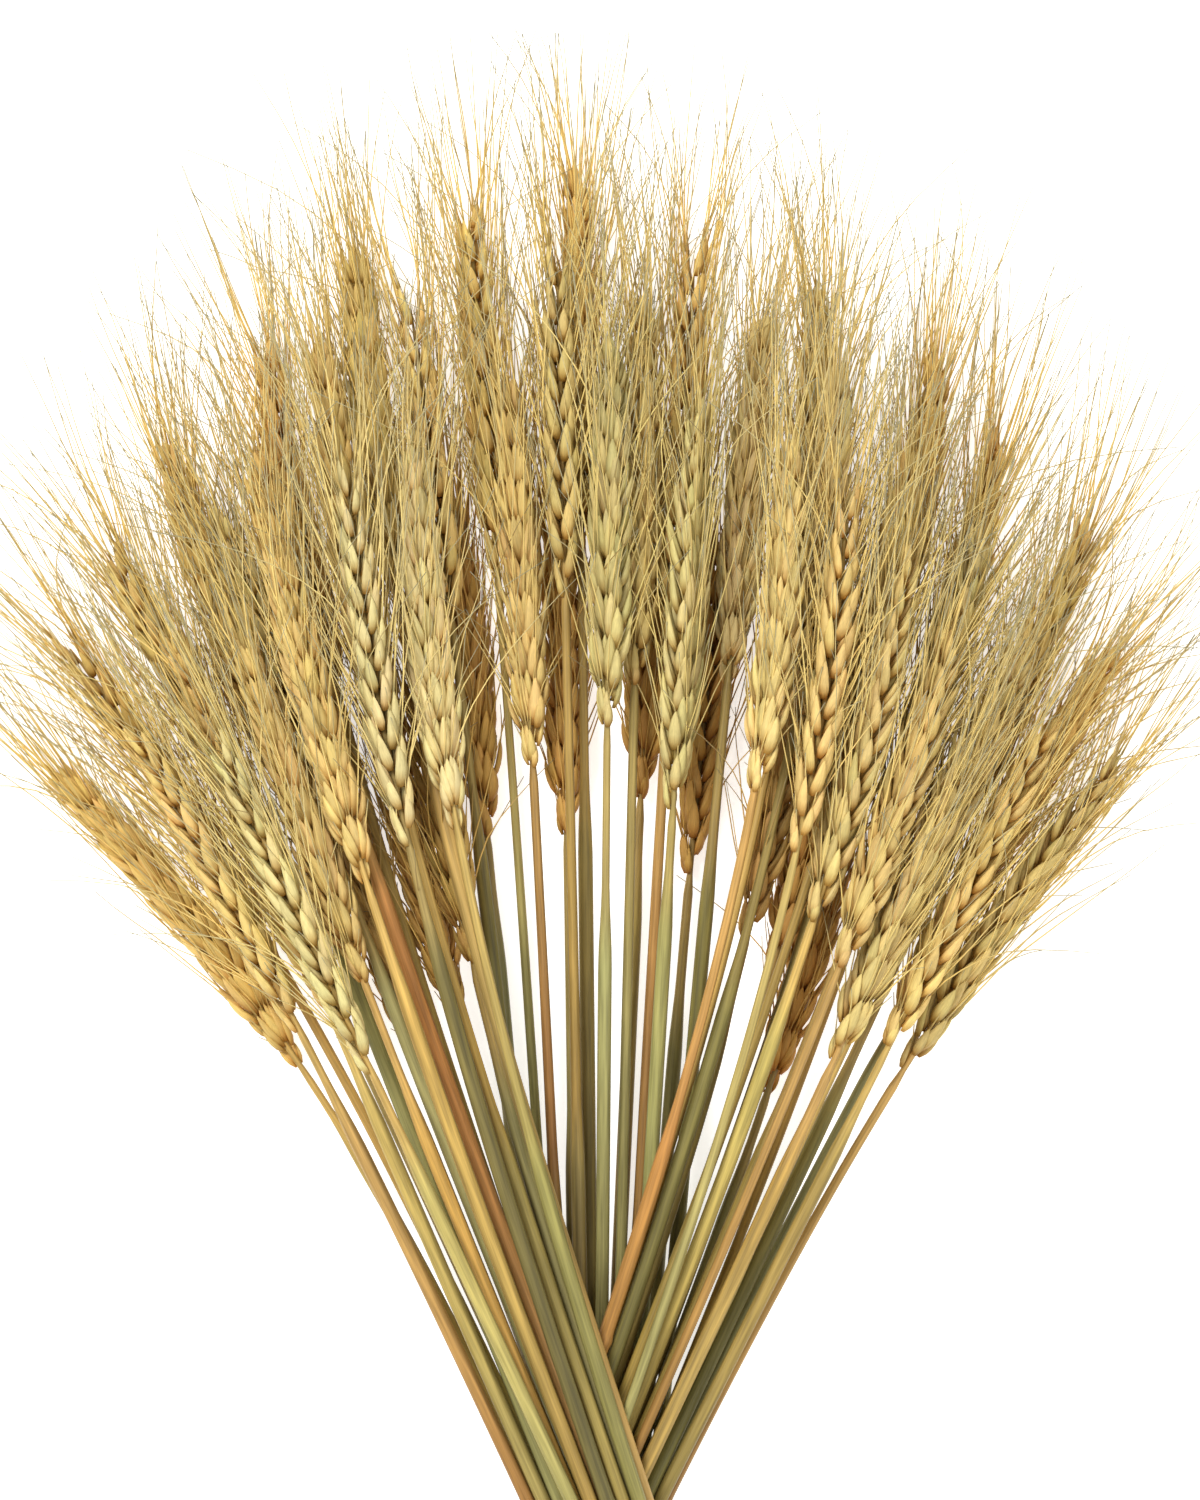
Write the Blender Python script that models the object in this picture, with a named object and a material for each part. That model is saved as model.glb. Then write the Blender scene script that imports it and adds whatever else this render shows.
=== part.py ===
"""A tied bunch of dried bearded wheat, lying on a table with its ears fanned out.

Each stalk is one grown piece: a straw that runs on as the ear's middle line, with pointed kernels all round
it and bristles (awns) out of their points. Three turns of twine hold the straws at the neck.
Metres, +Z up. The bunch lies along +Y, ears away from the origin, which is on the table under the twine.
"""

import math
import random

import bmesh
import bpy
import numpy as np
from mathutils import Matrix, Vector

# The stalk
STEM_RADIUS = 0.0015
EAR_LENGTH = 0.098
EAR_LENGTH_SPREAD = 0.010
BEND_ERROR, BEND_SAMPLES = 0.0003, 90

# The ear's kernels, larger than life and fewer: four to a level, each level turned by half a kernel
COLUMNS = 4
KERNEL_LEVELS = 12
PEAK_RANK, PEAK_ACROSS = 0.0050, 0.0061
VALLEY_SHARE = 0.56
PEAK_RISE = 0.55
SHOULDER, SHOULDER_SHARE = 0.16, 0.50
TOP_TAPER, TOP_SHARE = 0.40, 0.52

# The bristles, at true length, each out of the point of a kernel and clear of all that it passes
AWNS = 12
AWN_LENGTH, AWN_LENGTH_SPREAD = 0.058, 0.007
AWN_RADIUS = 0.0004
AWN_GAP = 0.0006
AWN_OPENING = (math.radians(4), math.radians(19))
AWN_SIDEWAYS = math.radians(7)
AWN_TRIES = 10
AWN_SAMPLES = 48
AWN_MEETS = 0.045
LOWEST_AWN_LEVEL = 3

# The fan: rows of ears whose tips lie on arcs about a point above the neck, from the lowest row to the top one
DOME_CENTRE_Y = 0.215
ROWS = (
    # arc radius, number of ears, half angle of the arc
    (0.074, 10, math.radians(80)),
    (0.146, 15, math.radians(90)),
    (0.124, 14, math.radians(87)),
    (0.100, 13, math.radians(88)),
)
ROW_LOFT = (0.0, 0.002, 0.006, 0.012)
LOFT_START_Y, LOFT_FULL_Y = 0.06, 0.26
CROWN_RISE, CROWN_ANGLE, CROWN_WIDTH = 0.11, math.radians(-10), math.radians(17)
TIP_JITTER = 0.006
SEED = 3

# The neck, where the straws lean left, right or straight on in three crossing layers
GROUP_LEAN = (0.0, 0.50, -0.46)
GROUP_NECK_X = (0.0, -0.002, 0.003)
GROUP_PULL = (0.10, 0.40, 0.40)
OUTER_PULL = 0.95
SPLIT_LEAN = 0.16
NECK_PITCH = 0.0041
NECK_ROW = 8
BELOW_KEEP = 0.55
BELOW_SPREAD = 0.08
NECK_BEND = 0.020
CUT_Y = -0.066
CUT_JITTER = 0.006

# How the straws lie on each other
LEVEL_STEP = 0.002
LEVELS = np.arange(-0.080, 0.440, LEVEL_STEP)
LAY_GAP = 0.0007
STIFF_LEVELS = 5
DROOP = 0.10

# The twine
TWINE_RADIUS = 0.0014
TWINE_TURNS = 3
TWINE_GAP = 0.0004
TWINE_SINK = 0.0003
NECK_SIDES = 20
NECK_LIFT = 2 * TWINE_RADIUS + TWINE_GAP - TWINE_SINK
NECK_LIFT_REACH = 0.014
TURN_OUTLINE = ((-0.95, 1.1), (-0.45, 2.0), (0.45, 2.0), (0.95, 1.1))
TIE_BACK = 0.7
KNOT_SIZE = (0.0044, 0.0034, 0.0026)
KNOT_RISE = 1.5
TAIL_LENGTH = 0.016
TAIL_SIDES = 5
TAIL_WIDTHS = (0.8, 0.7)
TAIL_WAYS = ((0.85, 0.45, 0.42), (-0.75, -0.60, 0.50))

# The surfaces
STRAW_COLOURS = {
    "straw_pale": (0.70, 0.56, 0.29),
    "straw_gold": (0.66, 0.47, 0.18),
    "straw_amber": (0.50, 0.31, 0.11),
}
TWINE_COLOUR = (0.42, 0.29, 0.15)
STRAW_ROUGHNESS, TWINE_ROUGHNESS = 0.65, 0.9


def smooth_step(value, low, high):
    t = np.clip((value - low) / (high - low), 0.0, 1.0)
    return t * t * (3 - 2 * t)


def plan_stalks():
    """The stalks from the bottom of the pile to its top, each with its ear's tip and its lean."""
    draw = random.Random(SEED)
    stalks = []
    for row, (reach, count, half_angle) in enumerate(ROWS):
        for k in range(count):
            angle = half_angle * (2 * k / (count - 1) - 1)
            far = reach * (1 + CROWN_RISE * math.exp(-((angle - CROWN_ANGLE) / CROWN_WIDTH) ** 2))
            x = far * math.sin(angle) + draw.uniform(-1, 1) * TIP_JITTER
            y = DOME_CENTRE_Y + far * math.cos(angle) + draw.uniform(-1, 1) * TIP_JITTER
            lean = x / y
            group = 0 if abs(lean) < SPLIT_LEAN else 1 if lean > 0 else 2
            stalks.append({
                "group": group, "row": row, "tip": (x, y), "lean": lean, "order": draw.random(),
                "ear": EAR_LENGTH + draw.uniform(-1, 1) * EAR_LENGTH_SPREAD,
                "cut": CUT_Y + draw.uniform(-1, 1) * CUT_JITTER,
                "roll": draw.uniform(0, math.pi), "tone": draw.random(),
            })
    stalks.sort(key=lambda s: (s["group"], s["row"], s["order"]))
    for group, neck_x in enumerate(GROUP_NECK_X):
        members = [s for s in stalks if s["group"] == group]
        for first in range(0, len(members), NECK_ROW):
            layer = sorted(members[first:first + NECK_ROW], key=lambda s: s["lean"])
            shift = neck_x + NECK_PITCH / 4 * (-1) ** (first // NECK_ROW)
            for k, stalk in enumerate(layer):
                stalk["neck"] = shift + NECK_PITCH * (k - (len(layer) - 1) / 2)
    return stalks


def set_plan_line(stalk):
    """The stalk's line seen from above, as x at each level, and where along it the ear begins and ends."""
    x, y = stalk["tip"]
    straight = (x - stalk["neck"]) / y
    pull, group_lean = GROUP_PULL[stalk["group"]], GROUP_LEAN[stalk["group"]]
    if stalk["group"] and abs(straight) > abs(group_lean):
        pull = OUTER_PULL
    slope = pull * group_lean + (1 - pull) * straight
    bow = (x - stalk["neck"] - slope * y) / y**3
    above = slope + 3 * bow * np.maximum(LEVELS, 0) ** 2
    below = BELOW_KEEP * group_lean + BELOW_SPREAD * slope
    lean = below + (above - below) * smooth_step(LEVELS, -NECK_BEND, NECK_BEND)
    run = np.cumsum(lean) * LEVEL_STEP
    stalk["x"] = stalk["neck"] + run - np.interp(0, LEVELS, run)
    stalk["slant"] = np.sqrt(1 + lean**2)
    along = np.cumsum(stalk["slant"]) * LEVEL_STEP
    stalk["along"] = along - np.interp(y, LEVELS, along)
    stalk["start"] = float(np.interp(stalk["cut"], LEVELS, stalk["along"]))


def ear_shape(share):
    """How full the ear is at a share of its length: narrow at its foot and towards its tip."""
    foot = SHOULDER_SHARE + (1 - SHOULDER_SHARE) * smooth_step(share, 0, SHOULDER)
    tip = 1 - (1 - TOP_SHARE) * smooth_step(share, 1 - TOP_TAPER, 1)
    return foot * tip


def set_room(stalk):
    """How far the stalk reaches sideways and up at each level, with its ear's roll, and where it is present."""
    s = stalk["along"]
    kernel = 1 / KERNEL_LEVELS
    share = 1 + s / stalk["ear"]
    full = np.where(share > -kernel / 2, ear_shape(share + kernel), 0)
    cos, sin = math.cos(stalk["roll"]), math.sin(stalk["roll"])
    stalk["side"] = np.maximum(STEM_RADIUS, math.hypot(PEAK_RANK * sin, PEAK_ACROSS * cos) * full)
    stalk["tall"] = np.maximum(STEM_RADIUS, math.hypot(PEAK_RANK * cos, PEAK_ACROSS * sin) * full)
    stalk["present"] = (s > stalk["start"] - LAY_GAP) & (s < LAY_GAP)


def rests_of(height, levels):
    """Those of the levels that a taut straw laid over these heights rests on."""
    rests = []
    for k in levels:
        while len(rests) > 1:
            before, last = rests[-2:]
            line = height[before] + (height[k] - height[before]) * (last - before) / (k - before)
            if height[last] > line:
                break
            rests.pop()
        rests.append(k)
    return rests


def settled(height, present):
    """A height that clears the given one: a straw straight between its rests, which bends only gently."""
    height = height.copy()
    here = np.flatnonzero(present)
    middle = int(np.abs(LEVELS).argmin())
    for outward in (range(middle + 1, here[-1] + 1), range(middle - 1, here[0] - 1, -1)):
        for k in outward:
            inward = k - 1 if k > middle else k + 1
            height[k] = max(height[k], height[inward] - DROOP * LEVEL_STEP)
        levels = sorted(k for k in outward if abs(k - middle) > STIFF_LEVELS)
        rests = rests_of(height, levels)
        height[levels] = np.interp(levels, rests, height[rests])
    height[:here[0]] = height[here[0]]
    height[here[-1]:] = height[here[-1]]
    padded = np.pad(height, STIFF_LEVELS, mode="edge")
    highest = np.lib.stride_tricks.sliding_window_view(padded, 2 * STIFF_LEVELS + 1).max(axis=1)
    padded = np.pad(highest, STIFF_LEVELS, mode="edge")
    return np.lib.stride_tricks.sliding_window_view(padded, 2 * STIFF_LEVELS + 1).mean(axis=1)


def lay_down(stalks):
    """Lays the stalks one after another, each on the table or on those that it crosses."""
    neck_lift = NECK_LIFT * np.exp(-((LEVELS / NECK_LIFT_REACH) ** 4))
    for index, stalk in enumerate(stalks):
        set_plan_line(stalk)
        set_room(stalk)
        loft = ROW_LOFT[stalk["row"]] * smooth_step(LEVELS, LOFT_START_Y, LOFT_FULL_Y)
        height = stalk["tall"] + neck_lift + loft
        for under in stalks[:index]:
            wide = stalk["side"] * stalk["slant"] + under["side"] * under["slant"] + LAY_GAP
            apart = np.clip(np.abs(stalk["x"] - under["x"]) / wide, 0, 1)
            top = under["z"] + (stalk["tall"] + under["tall"] + LAY_GAP) * np.sqrt(1 - apart**2)
            crossing = (apart < 1) & stalk["present"] & under["present"]
            height = np.maximum(height, np.where(crossing, top, 0))
        stalk["z"] = settled(height, stalk["present"])
    return stalks


def point_at(stalk, s):
    """The point of the stalk's middle line at the length s from the ear's tip, negative towards the cut end."""
    y = float(np.interp(s, stalk["along"], LEVELS))
    return Vector((np.interp(y, LEVELS, stalk["x"]), y, np.interp(y, LEVELS, stalk["z"])))


def frame_at(stalk, s):
    """Along, out to a rank of spikelets, and across, at the length s of the stalk."""
    step = 0.004
    along = (point_at(stalk, s + step) - point_at(stalk, s - step)).normalized()
    side = along.cross(Vector((0, 0, 1))).normalized()
    up = side.cross(along)
    rank = math.cos(stalk["roll"]) * up + math.sin(stalk["roll"]) * side
    return along, rank, along.cross(rank)


def new_collection(name):
    collection = bpy.data.collections.new(name)
    bpy.context.scene.collection.children.link(collection)
    return collection


def add_object(name, data, collection):
    obj = bpy.data.objects.new(name, data)
    collection.objects.link(obj)
    return obj


def principled(name, colour, roughness):
    material = bpy.data.materials.new(name)
    material.use_nodes = True
    shader = material.node_tree.nodes["Principled BSDF"]
    shader.inputs["Base Color"].default_value = (*colour, 1)
    shader.inputs["Roughness"].default_value = roughness
    shader.inputs["Metallic"].default_value = 0.0
    material.diffuse_color = (*colour, 1)
    return material


def off_middle(stalk, s, rank_reach, across_reach, turn):
    """A point beside the stalk's middle line, turned round it from its rank of spikelets."""
    along, rank, across = frame_at(stalk, s)
    return point_at(stalk, s) + math.cos(turn) * rank_reach * rank + math.sin(turn) * across_reach * across


def peak_of(stalk, level, column):
    """The point of a kernel, and the directions along the ear and out of it there."""
    s = -stalk["ear"] * (1 - (level + PEAK_RISE) / KERNEL_LEVELS)
    full = float(ear_shape(level / KERNEL_LEVELS))
    turn = 2 * math.pi * (column + 0.5 + level % 2 / 2) / COLUMNS
    peak = off_middle(stalk, s, PEAK_RANK * full, PEAK_ACROSS * full, turn)
    return peak, frame_at(stalk, s)[0], (peak - point_at(stalk, s)).normalized()


def straw_stations(stalk):
    """Where the straw has a ring: at both ends, and wherever fewer would leave its middle line."""
    first, last = stalk["start"], -stalk["ear"]
    lengths = np.linspace(first, last, BEND_SAMPLES)
    line = np.array([point_at(stalk, s) for s in lengths])
    kept = [0, len(lengths) - 1]
    while True:
        chord = np.column_stack([np.interp(lengths, lengths[kept], line[kept, axis]) for axis in range(3)])
        off = np.linalg.norm(chord - line, axis=1)
        if off.max() < BEND_ERROR:
            return [float(lengths[k]) for k in kept]
        kept = sorted(kept + [int(off.argmax())])


def capsules(stalk):
    """The stalk as short straight stretches, each with its ends and its half width."""
    straw = straw_stations(stalk)
    ear = [-stalk["ear"] * (1 - k / KERNEL_LEVELS) for k in range(KERNEL_LEVELS + 1)]
    line = [point_at(stalk, s) for s in straw[:-1] + ear]
    widths = [STEM_RADIUS] * (len(straw) - 1) + [PEAK_ACROSS] * KERNEL_LEVELS
    return [(a, b, width) for a, b, width in zip(line, line[1:], widths)]


def near(point, stretches):
    """Those stretches that a bristle from this point could meet, as arrays of their ends and half widths."""
    a, b, width = (np.array(column) for column in zip(*stretches))
    close = np.linalg.norm((a + b) / 2 - np.array(point), axis=1) < AWN_LENGTH + AWN_MEETS
    return a[close], b[close], width[close]


def is_clear(start, end, stretches):
    """Whether a bristle passes above the table and clear of all these stretches."""
    if min(start.z, end.z) < AWN_RADIUS:
        return False
    a, b, width = stretches
    points = np.linspace(start, end, AWN_SAMPLES)[:, None, :]
    run = b - a
    share = np.clip(((points - a) * run).sum(axis=2) / (run * run).sum(axis=1), 0, 1)
    apart = np.linalg.norm(points - a - share[:, :, None] * run, axis=2)
    return bool((apart > width + AWN_RADIUS + AWN_GAP).all())


def spread_kernels():
    """The kernels that may carry a bristle, in an order that goes round the ear while it goes down it."""
    levels = range(KERNEL_LEVELS - 2, LOWEST_AWN_LEVEL - 1, -1)
    return [(level, (3 * level + level // 2 + turn) % COLUMNS) for turn in range(COLUMNS) for level in levels]


def set_bristles(stalks):
    """Gives each ear its bristles, each at the first angle of a few at which it is clear."""
    draw = random.Random(SEED + 1)
    bodies = [capsules(stalk) for stalk in stalks]
    grown = []
    for index, stalk in enumerate(stalks):
        others = [part for other, body in enumerate(bodies) if other != index for part in body]
        stalk["bristles"] = {}
        for level, column in spread_kernels():
            if len(stalk["bristles"]) == AWNS:
                break
            peak, along, out = peak_of(stalk, level, column)
            side = along.cross(out)
            around = near(peak, others + grown)
            for _ in range(AWN_TRIES):
                opening = draw.uniform(*AWN_OPENING)
                sideways = draw.uniform(-AWN_SIDEWAYS, AWN_SIDEWAYS)
                heading = (along + math.tan(opening) * out + math.tan(sideways) * side).normalized()
                tip = peak + heading * (AWN_LENGTH + draw.uniform(-1, 1) * AWN_LENGTH_SPREAD)
                if is_clear(peak + heading * AWN_GAP, tip, around):
                    stalk["bristles"][(level, column)] = tip
                    grown.append((peak, tip, AWN_RADIUS))
                    break


class StalkMesh:
    """The points and faces of one stalk, added from its cut end to its ear's tip."""

    def __init__(self, stalk):
        self.stalk = stalk
        self.points = []
        self.faces = []

    def add(self, point):
        self.points.append(point)
        return len(self.points) - 1

    def straw_ring(self, s):
        turns = [2 * math.pi * k / COLUMNS for k in range(COLUMNS)]
        return [self.add(off_middle(self.stalk, s, STEM_RADIUS, STEM_RADIUS, turn)) for turn in turns]

    def valley_ring(self, level):
        """The ring of low points between the kernels, turned by half a kernel on odd levels."""
        share = level / KERNEL_LEVELS
        full = float(VALLEY_SHARE * ear_shape(share))
        s = -self.stalk["ear"] * (1 - share)
        turns = [2 * math.pi * (k + level % 2 / 2) / COLUMNS for k in range(COLUMNS)]
        return [self.add(off_middle(self.stalk, s, PEAK_RANK * full, PEAK_ACROSS * full, turn)) for turn in turns]

    def cone(self, ring, point):
        tip = self.add(point)
        for a, b in zip(ring, ring[1:] + ring[:1]):
            self.faces.append((a, b, tip))

    def band(self, low, high):
        for k in range(len(low)):
            after = (k + 1) % len(low)
            self.faces.append((low[k], low[after], high[after], high[k]))

    def kernel(self, level, column, corners):
        """One pointed kernel over the four low points round it, with a bristle out of its point or not."""
        peak, along, out = peak_of(self.stalk, level, column)
        bristle_tip = self.stalk["bristles"].get((level, column))
        if bristle_tip is None:
            self.cone(corners, peak)
            return
        heading = (bristle_tip - peak).normalized()
        side = heading.cross(out).normalized()
        outer = side.cross(heading)
        foot = [self.add(peak + way * AWN_RADIUS) for way in (outer, side, -outer, -side)]
        self.band(corners, foot)
        self.cone(foot, bristle_tip)


def grow_stalk(name, stalk):
    """One stalk as a single closed mesh: a straw of plain rings, then a lattice of kernels closed at the tip."""
    grown = StalkMesh(stalk)
    rings = [grown.straw_ring(s) for s in straw_stations(stalk)[:-1]]
    valleys = [grown.valley_ring(level) for level in range(KERNEL_LEVELS)]
    grown.faces.append(tuple(reversed(rings[0])))
    for low, high in zip(rings, rings[1:] + valleys[:1]):
        grown.band(low, high)
    for column in range(COLUMNS):
        after = (column + 1) % COLUMNS
        grown.faces.append((valleys[0][column], valleys[0][after], valleys[1][column]))
    for level in range(1, KERNEL_LEVELS - 1):
        for column in range(COLUMNS):
            after = (column + 1) % COLUMNS
            between = after if level % 2 else column
            corners = [valleys[level - 1][between], valleys[level][after], valleys[level + 1][between],
                       valleys[level][column]]
            grown.kernel(level, column, corners)
    last = KERNEL_LEVELS - 1
    for column in range(COLUMNS):
        after = (column + 1) % COLUMNS
        between = after if last % 2 else column
        grown.faces.append((valleys[last - 1][between], valleys[last][after], valleys[last][column]))
    grown.cone(valleys[last], point_at(stalk, 0.0))
    mesh = bpy.data.meshes.new(name)
    mesh.from_pydata([tuple(p) for p in grown.points], [], grown.faces)
    mesh.update()
    return mesh


def neck_reach(stalks):
    """How far the straws reach at the neck, in each of the directions round it, with the twine's gap."""
    near = np.abs(LEVELS) < TWINE_TURNS * TWINE_RADIUS
    x = np.concatenate([s["x"][near] for s in stalks])
    z = np.concatenate([s["z"][near] for s in stalks])
    turns = np.arange(NECK_SIDES) * 2 * math.pi / NECK_SIDES - math.pi / 2
    reach = [(x * math.cos(a) + z * math.sin(a)).max() for a in turns]
    return turns, np.array(reach) + STEM_RADIUS + TWINE_GAP


def neck_corners(turns, reach):
    """The corners, in x and z, of the convex outline with those reaches."""
    ahead, further = np.roll(turns, -1), np.roll(reach, -1)
    share = np.sin(ahead - turns)
    x = (reach * np.sin(ahead) - further * np.sin(turns)) / share
    z = (further * np.cos(turns) - reach * np.cos(ahead)) / share
    return list(zip(x, z))


def twine_section():
    """The section through the turns side by side, as (y, height off the straws): a flat back and round tops."""
    first = -(TWINE_TURNS - 1) * TWINE_RADIUS
    section = [(first - TIE_BACK * TWINE_RADIUS, 0.0)]
    for k in range(TWINE_TURNS):
        middle = first + 2 * k * TWINE_RADIUS
        for y, height in TURN_OUTLINE[:-1]:
            section.append((middle + y * TWINE_RADIUS, height * TWINE_RADIUS))
    y, height = TURN_OUTLINE[-1]
    section.append((-first + y * TWINE_RADIUS, height * TWINE_RADIUS))
    section.append((-first + TIE_BACK * TWINE_RADIUS, 0.0))
    return section


def make_tie(stalks, material, collection):
    """Three turns of twine with their knot on top and its cut ends, flat where they lie on the table."""
    turns, reach = neck_reach(stalks)
    points, faces = [], []
    section = twine_section()
    for y, height in section:
        corners = neck_corners(turns, reach + height)
        points += [(x, y, max(z, 0.0)) for x, z in corners]
    for row in range(len(section)):
        low, high = row * NECK_SIDES, (row + 1) % len(section) * NECK_SIDES
        for k in range(NECK_SIDES):
            after = (k + 1) % NECK_SIDES
            faces.append((low + k, low + after, high + after, high + k))
    mesh = bpy.data.meshes.new("twine_tie")
    mesh.from_pydata(points, [], faces)
    cage = bmesh.new()
    cage.from_mesh(mesh)
    bmesh.ops.recalc_face_normals(cage, faces=cage.faces)
    cage.to_mesh(mesh)
    cage.free()
    tie = add_object("twine_tie", mesh, collection)
    top = max(z for _, z in neck_corners(turns, reach))
    knot_place = Vector((0, 0, top + KNOT_RISE * TWINE_RADIUS))
    knot = bmesh.new()
    bmesh.ops.create_icosphere(knot, subdivisions=1, radius=1)
    bmesh.ops.scale(knot, verts=knot.verts, vec=KNOT_SIZE)
    foot, end = (share * TWINE_RADIUS for share in TAIL_WIDTHS)
    for way in TAIL_WAYS:
        tail = bmesh.ops.create_cone(knot, cap_ends=True, segments=TAIL_SIDES, radius1=foot, radius2=end,
                                     depth=TAIL_LENGTH)
        heading = Vector(way).normalized()
        turn = heading.to_track_quat("Z", "Y").to_matrix().to_4x4()
        bmesh.ops.transform(knot, verts=tail["verts"],
                            matrix=Matrix.Translation(heading * TAIL_LENGTH / 2) @ turn)
    bmesh.ops.translate(knot, verts=knot.verts, vec=knot_place)
    extra = bpy.data.meshes.new("knot")
    knot.to_mesh(extra)
    knot.free()
    helper = add_object("knot", extra, collection)
    union = tie.modifiers.new("join", "BOOLEAN")
    union.operation = "UNION"
    union.object = helper
    union.use_self = True
    graph = bpy.context.evaluated_depsgraph_get()
    joined = bpy.data.meshes.new_from_object(tie.evaluated_get(graph))
    tie.modifiers.clear()
    tie.data = joined
    bpy.data.objects.remove(helper)
    tie.data.materials.clear()
    tie.data.materials.append(material)
    return tie


def main():
    for obj in list(bpy.data.objects):
        bpy.data.objects.remove(obj)
    bunch = new_collection("wheat_bunch")
    holder = add_object("wheat_bunch_origin", None, bunch)
    straws = [principled(name, colour, STRAW_ROUGHNESS) for name, colour in STRAW_COLOURS.items()]
    stalks = lay_down(plan_stalks())
    set_bristles(stalks)
    pieces = []
    for k, stalk in enumerate(stalks):
        name = f"stalk_{k + 1:02d}"
        piece = add_object(name, grow_stalk(name, stalk), bunch)
        piece.data.materials.append(straws[int(stalk["tone"] * len(straws))])
        pieces.append(piece)
    pieces.append(make_tie(stalks, principled("twine", TWINE_COLOUR, TWINE_ROUGHNESS), bunch))
    for piece in pieces:
        piece.parent = holder


main()
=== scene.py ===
import math
import random

import bpy
import numpy as np
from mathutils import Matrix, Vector


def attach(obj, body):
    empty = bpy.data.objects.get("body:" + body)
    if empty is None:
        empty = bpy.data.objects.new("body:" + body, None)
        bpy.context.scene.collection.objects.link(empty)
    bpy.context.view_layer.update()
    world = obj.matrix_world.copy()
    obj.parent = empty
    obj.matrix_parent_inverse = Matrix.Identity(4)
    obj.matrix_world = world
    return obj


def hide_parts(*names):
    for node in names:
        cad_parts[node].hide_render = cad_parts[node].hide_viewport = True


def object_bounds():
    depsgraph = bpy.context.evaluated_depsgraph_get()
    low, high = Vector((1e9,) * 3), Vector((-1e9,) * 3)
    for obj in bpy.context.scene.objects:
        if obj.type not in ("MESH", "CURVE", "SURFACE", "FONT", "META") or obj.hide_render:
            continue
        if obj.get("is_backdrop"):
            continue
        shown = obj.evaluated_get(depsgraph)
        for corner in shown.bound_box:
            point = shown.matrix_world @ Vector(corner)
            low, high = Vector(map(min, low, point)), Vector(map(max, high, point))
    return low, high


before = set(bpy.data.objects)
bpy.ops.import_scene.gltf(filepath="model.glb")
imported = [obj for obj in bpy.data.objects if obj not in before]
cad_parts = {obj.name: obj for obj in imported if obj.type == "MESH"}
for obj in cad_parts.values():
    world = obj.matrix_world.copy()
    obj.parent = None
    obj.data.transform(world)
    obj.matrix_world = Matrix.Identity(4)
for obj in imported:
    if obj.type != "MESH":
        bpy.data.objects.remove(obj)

cad_low, cad_high = (np.array(corner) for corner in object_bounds())

# How the stalks lie. A hand-gathered bunch of bearded wheat is laid on a table and fans out from its neck:
# straws that lean straight on lie lowest, those that lean right cross over them, and those that lean left
# cross on top. Each straw rests on the ones that it crosses and stays straight between them.
STEM_RADIUS = 0.0015
EAR_LENGTH = 0.098
EAR_LENGTH_SPREAD = 0.010
EAR_RANK, EAR_ACROSS = 0.0050, 0.0061
EAR_SHOULDER, EAR_SHOULDER_SHARE = 0.16, 0.50
EAR_TAPER, EAR_TIP_SHARE = 0.40, 0.52
EAR_STEP = 1 / 12
DOME_CENTRE_Y = 0.215
ROWS = (
    # arc radius, number of ears, half angle of the arc
    (0.074, 10, math.radians(80)),
    (0.146, 15, math.radians(90)),
    (0.124, 14, math.radians(87)),
    (0.100, 13, math.radians(88)),
)
ROW_LOFT = (0.0, 0.002, 0.006, 0.012)
LOFT_START_Y, LOFT_FULL_Y = 0.06, 0.26
CROWN_RISE, CROWN_ANGLE, CROWN_WIDTH = 0.11, math.radians(-10), math.radians(17)
TIP_JITTER = 0.006
SEED = 3
GROUP_LEAN = (0.0, 0.50, -0.46)
GROUP_NECK_X = (0.0, -0.002, 0.003)
GROUP_PULL = (0.10, 0.40, 0.40)
OUTER_PULL = 0.95
SPLIT_LEAN = 0.16
NECK_PITCH = 0.0041
NECK_ROW = 8
BELOW_KEEP = 0.55
BELOW_SPREAD = 0.08
NECK_BEND = 0.020
CUT_Y = -0.066
CUT_JITTER = 0.006
LEVEL_STEP = 0.002
LEVELS = np.arange(-0.080, 0.440, LEVEL_STEP)
LAY_GAP = 0.0007
STIFF_LEVELS = 5
DROOP = 0.10
TWINE_RADIUS = 0.0014
NECK_LIFT = 2 * TWINE_RADIUS + 0.0001
NECK_LIFT_REACH = 0.014


def smooth_step(value, low, high):
    t = np.clip((value - low) / (high - low), 0.0, 1.0)
    return t * t * (3 - 2 * t)


def plan_stalks():
    """The stalks from the bottom of the pile to its top, each with its ear's tip and its lean."""
    draw = random.Random(SEED)
    stalks = []
    for row, (reach, count, half_angle) in enumerate(ROWS):
        for k in range(count):
            angle = half_angle * (2 * k / (count - 1) - 1)
            far = reach * (1 + CROWN_RISE * math.exp(-((angle - CROWN_ANGLE) / CROWN_WIDTH) ** 2))
            x = far * math.sin(angle) + draw.uniform(-1, 1) * TIP_JITTER
            y = DOME_CENTRE_Y + far * math.cos(angle) + draw.uniform(-1, 1) * TIP_JITTER
            lean = x / y
            group = 0 if abs(lean) < SPLIT_LEAN else 1 if lean > 0 else 2
            stalks.append({
                "group": group, "row": row, "tip": (x, y), "lean": lean, "order": draw.random(),
                "ear": EAR_LENGTH + draw.uniform(-1, 1) * EAR_LENGTH_SPREAD,
                "cut": CUT_Y + draw.uniform(-1, 1) * CUT_JITTER,
                "roll": draw.uniform(0, math.pi), "tone": draw.random(),
            })
    stalks.sort(key=lambda s: (s["group"], s["row"], s["order"]))
    for group, neck_x in enumerate(GROUP_NECK_X):
        members = [s for s in stalks if s["group"] == group]
        for first in range(0, len(members), NECK_ROW):
            layer = sorted(members[first:first + NECK_ROW], key=lambda s: s["lean"])
            shift = neck_x + NECK_PITCH / 4 * (-1) ** (first // NECK_ROW)
            for k, stalk in enumerate(layer):
                stalk["neck"] = shift + NECK_PITCH * (k - (len(layer) - 1) / 2)
    return stalks


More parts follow.
